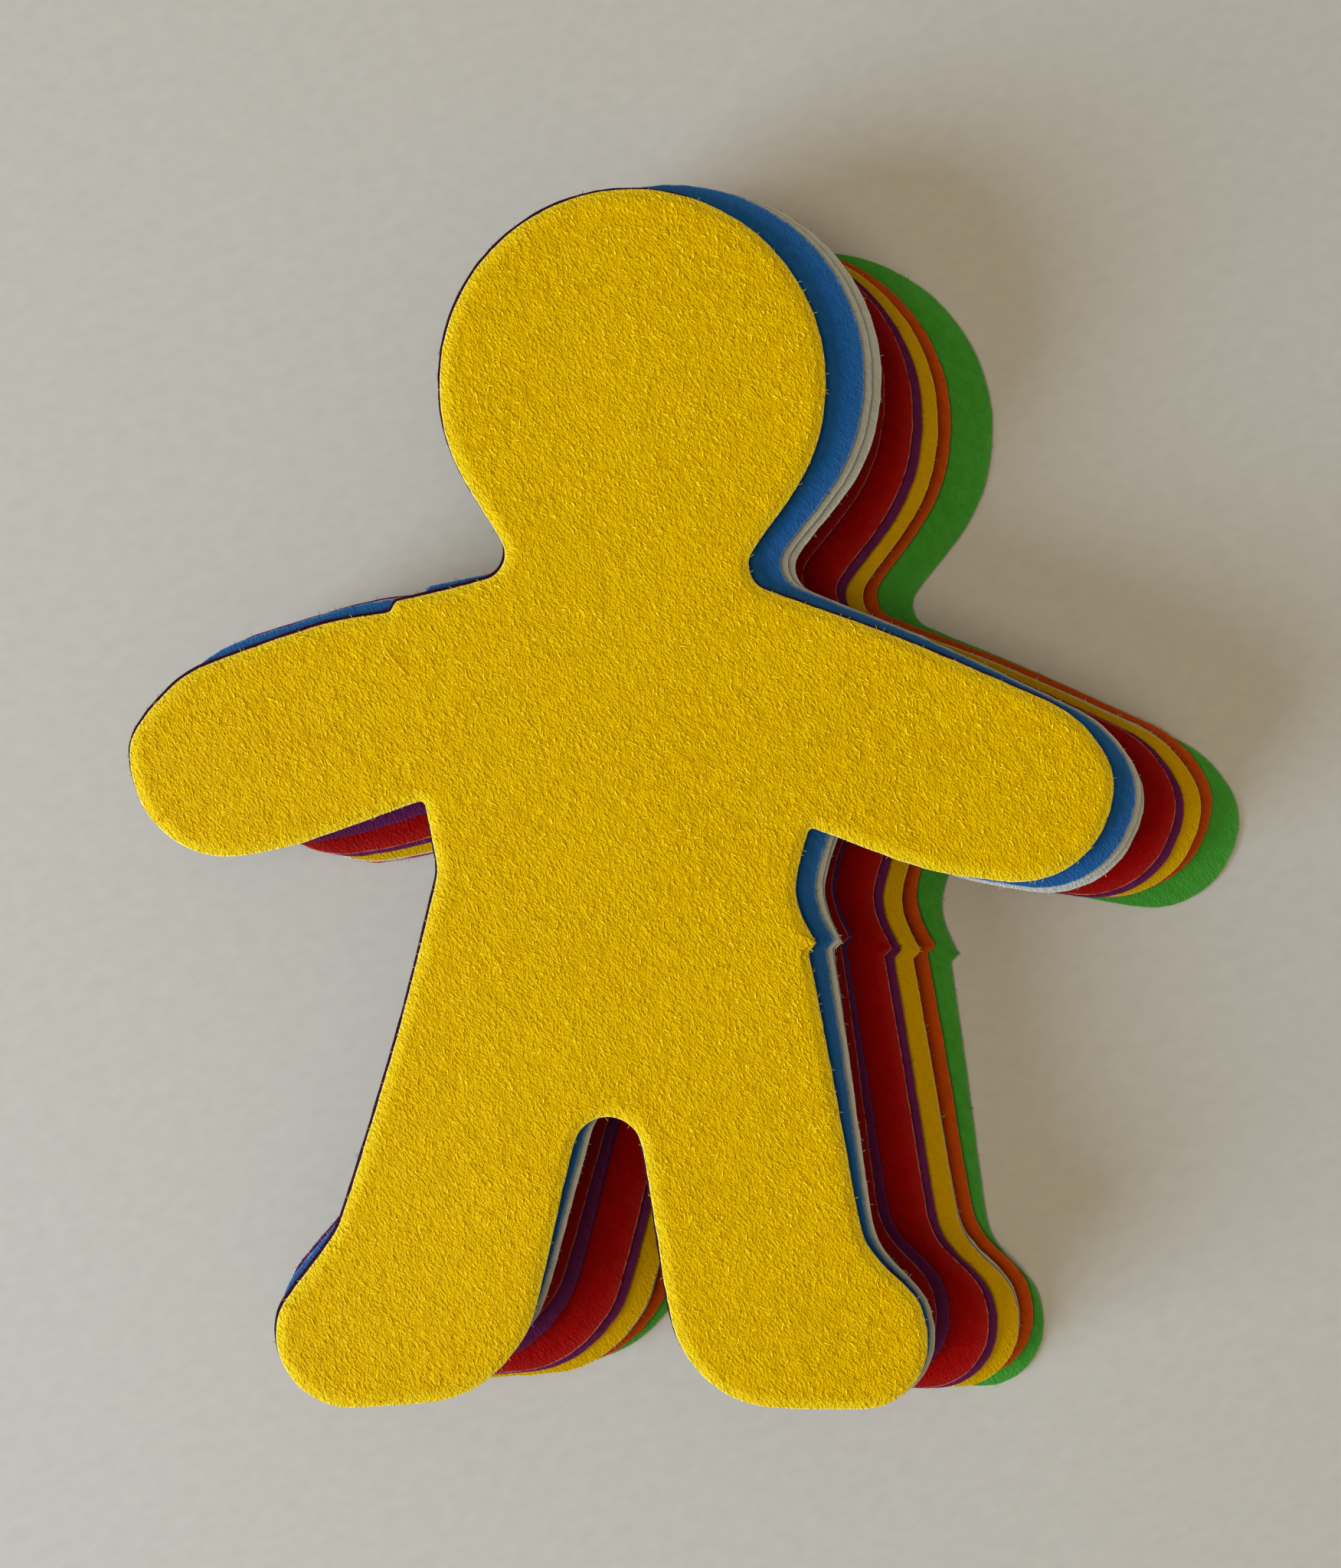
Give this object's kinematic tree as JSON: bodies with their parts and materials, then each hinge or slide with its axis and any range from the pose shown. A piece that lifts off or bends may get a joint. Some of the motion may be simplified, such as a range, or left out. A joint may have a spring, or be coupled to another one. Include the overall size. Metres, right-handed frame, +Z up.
{
  "type": "paper doll",
  "caption": "Loose fanned pile of die-cut coloured card figures with a round head, outstretched arms and parted legs.",
  "frame": {"origin": "below the middle of the whole pile's box, on the surface that the bottom sheet lies on", "axes": "+Z up through the pile, +Y towards the heads, +X to the right seen from above"},
  "size_m": [0.1328, 0.1438, 0.0177],
  "materials": {
    "card_yellow": "rough fibrous matte",
    "card_purple": "rough fibrous matte",
    "card_blue": "rough fibrous matte",
    "card_white": "rough fibrous matte",
    "card_red": "rough fibrous matte",
    "card_orange": "rough fibrous matte",
    "card_green": "rough fibrous matte"
  },
  "bodies": {
    "doll_01_green": {"doll_01_green": "card_green"},
    "doll_02_orange": {"doll_02_orange": "card_orange"},
    "doll_03_red": {"doll_03_red": "card_red"},
    "doll_04_white": {"doll_04_white": "card_white"},
    "doll_05_yellow": {"doll_05_yellow": "card_yellow"},
    "doll_06_purple": {"doll_06_purple": "card_purple"},
    "doll_07_red": {"doll_07_red": "card_red"},
    "doll_08_blue": {"doll_08_blue": "card_blue"},
    "doll_09_purple": {"doll_09_purple": "card_purple"},
    "doll_10_red": {"doll_10_red": "card_red"},
    "doll_11_green": {"doll_11_green": "card_green"},
    "doll_12_orange": {"doll_12_orange": "card_orange"},
    "doll_13_yellow": {"doll_13_yellow": "card_yellow"},
    "doll_14_blue": {"doll_14_blue": "card_blue"},
    "doll_15_red": {"doll_15_red": "card_red"},
    "doll_16_green": {"doll_16_green": "card_green"},
    "doll_17_orange": {"doll_17_orange": "card_orange"},
    "doll_18_white": {"doll_18_white": "card_white"},
    "doll_19_purple": {"doll_19_purple": "card_purple"},
    "doll_20_white": {"doll_20_white": "card_white"},
    "doll_21_white": {"doll_21_white": "card_white"},
    "doll_22_blue": {"doll_22_blue": "card_blue"},
    "doll_23_purple": {"doll_23_purple": "card_purple"},
    "doll_24_yellow": {"doll_24_yellow": "card_yellow"}
  },
  "joints": [
    {"name": "lift_02_orange", "type": "slide", "parent": "doll_01_green", "child": "doll_02_orange", "axis": [0, 0, 1], "range_m": [0, 0.025]},
    {"name": "lift_03_red", "type": "slide", "parent": "doll_02_orange", "child": "doll_03_red", "axis": [0, 0, 1], "range_m": [0, 0.025]},
    {"name": "lift_04_white", "type": "slide", "parent": "doll_03_red", "child": "doll_04_white", "axis": [0, 0, 1], "range_m": [0, 0.025]},
    {"name": "lift_05_yellow", "type": "slide", "parent": "doll_04_white", "child": "doll_05_yellow", "axis": [0, 0, 1], "range_m": [0, 0.025]},
    {"name": "lift_06_purple", "type": "slide", "parent": "doll_05_yellow", "child": "doll_06_purple", "axis": [0, 0, 1], "range_m": [0, 0.025]},
    {"name": "lift_07_red", "type": "slide", "parent": "doll_06_purple", "child": "doll_07_red", "axis": [0, 0, 1], "range_m": [0, 0.025]},
    {"name": "lift_08_blue", "type": "slide", "parent": "doll_07_red", "child": "doll_08_blue", "axis": [0, 0, 1], "range_m": [0, 0.025]},
    {"name": "lift_09_purple", "type": "slide", "parent": "doll_08_blue", "child": "doll_09_purple", "axis": [0, 0, 1], "range_m": [0, 0.025]},
    {"name": "lift_10_red", "type": "slide", "parent": "doll_09_purple", "child": "doll_10_red", "axis": [0, 0, 1], "range_m": [0, 0.025]},
    {"name": "lift_11_green", "type": "slide", "parent": "doll_10_red", "child": "doll_11_green", "axis": [0, 0, 1], "range_m": [0, 0.025]},
    {"name": "lift_12_orange", "type": "slide", "parent": "doll_11_green", "child": "doll_12_orange", "axis": [0, 0, 1], "range_m": [0, 0.025]},
    {"name": "lift_13_yellow", "type": "slide", "parent": "doll_12_orange", "child": "doll_13_yellow", "axis": [0, 0, 1], "range_m": [0, 0.025]},
    {"name": "lift_14_blue", "type": "slide", "parent": "doll_13_yellow", "child": "doll_14_blue", "axis": [0, 0, 1], "range_m": [0, 0.025]},
    {"name": "lift_15_red", "type": "slide", "parent": "doll_14_blue", "child": "doll_15_red", "axis": [0, 0, 1], "range_m": [0, 0.025]},
    {"name": "lift_16_green", "type": "slide", "parent": "doll_15_red", "child": "doll_16_green", "axis": [0, 0, 1], "range_m": [0, 0.025]},
    {"name": "lift_17_orange", "type": "slide", "parent": "doll_16_green", "child": "doll_17_orange", "axis": [0, 0, 1], "range_m": [0, 0.025]},
    {"name": "lift_18_white", "type": "slide", "parent": "doll_17_orange", "child": "doll_18_white", "axis": [0, 0, 1], "range_m": [0, 0.025]},
    {"name": "lift_19_purple", "type": "slide", "parent": "doll_18_white", "child": "doll_19_purple", "axis": [0, 0, 1], "range_m": [0, 0.025]},
    {"name": "lift_20_white", "type": "slide", "parent": "doll_19_purple", "child": "doll_20_white", "axis": [0, 0, 1], "range_m": [0, 0.025]},
    {"name": "lift_21_white", "type": "slide", "parent": "doll_20_white", "child": "doll_21_white", "axis": [0, 0, 1], "range_m": [0, 0.025]},
    {"name": "lift_22_blue", "type": "slide", "parent": "doll_21_white", "child": "doll_22_blue", "axis": [0, 0, 1], "range_m": [0, 0.025]},
    {"name": "lift_23_purple", "type": "slide", "parent": "doll_22_blue", "child": "doll_23_purple", "axis": [0, 0, 1], "range_m": [0, 0.025]},
    {"name": "lift_24_yellow", "type": "slide", "parent": "doll_23_purple", "child": "doll_24_yellow", "axis": [0, 0, 1], "range_m": [0, 0.025]}
  ]
}
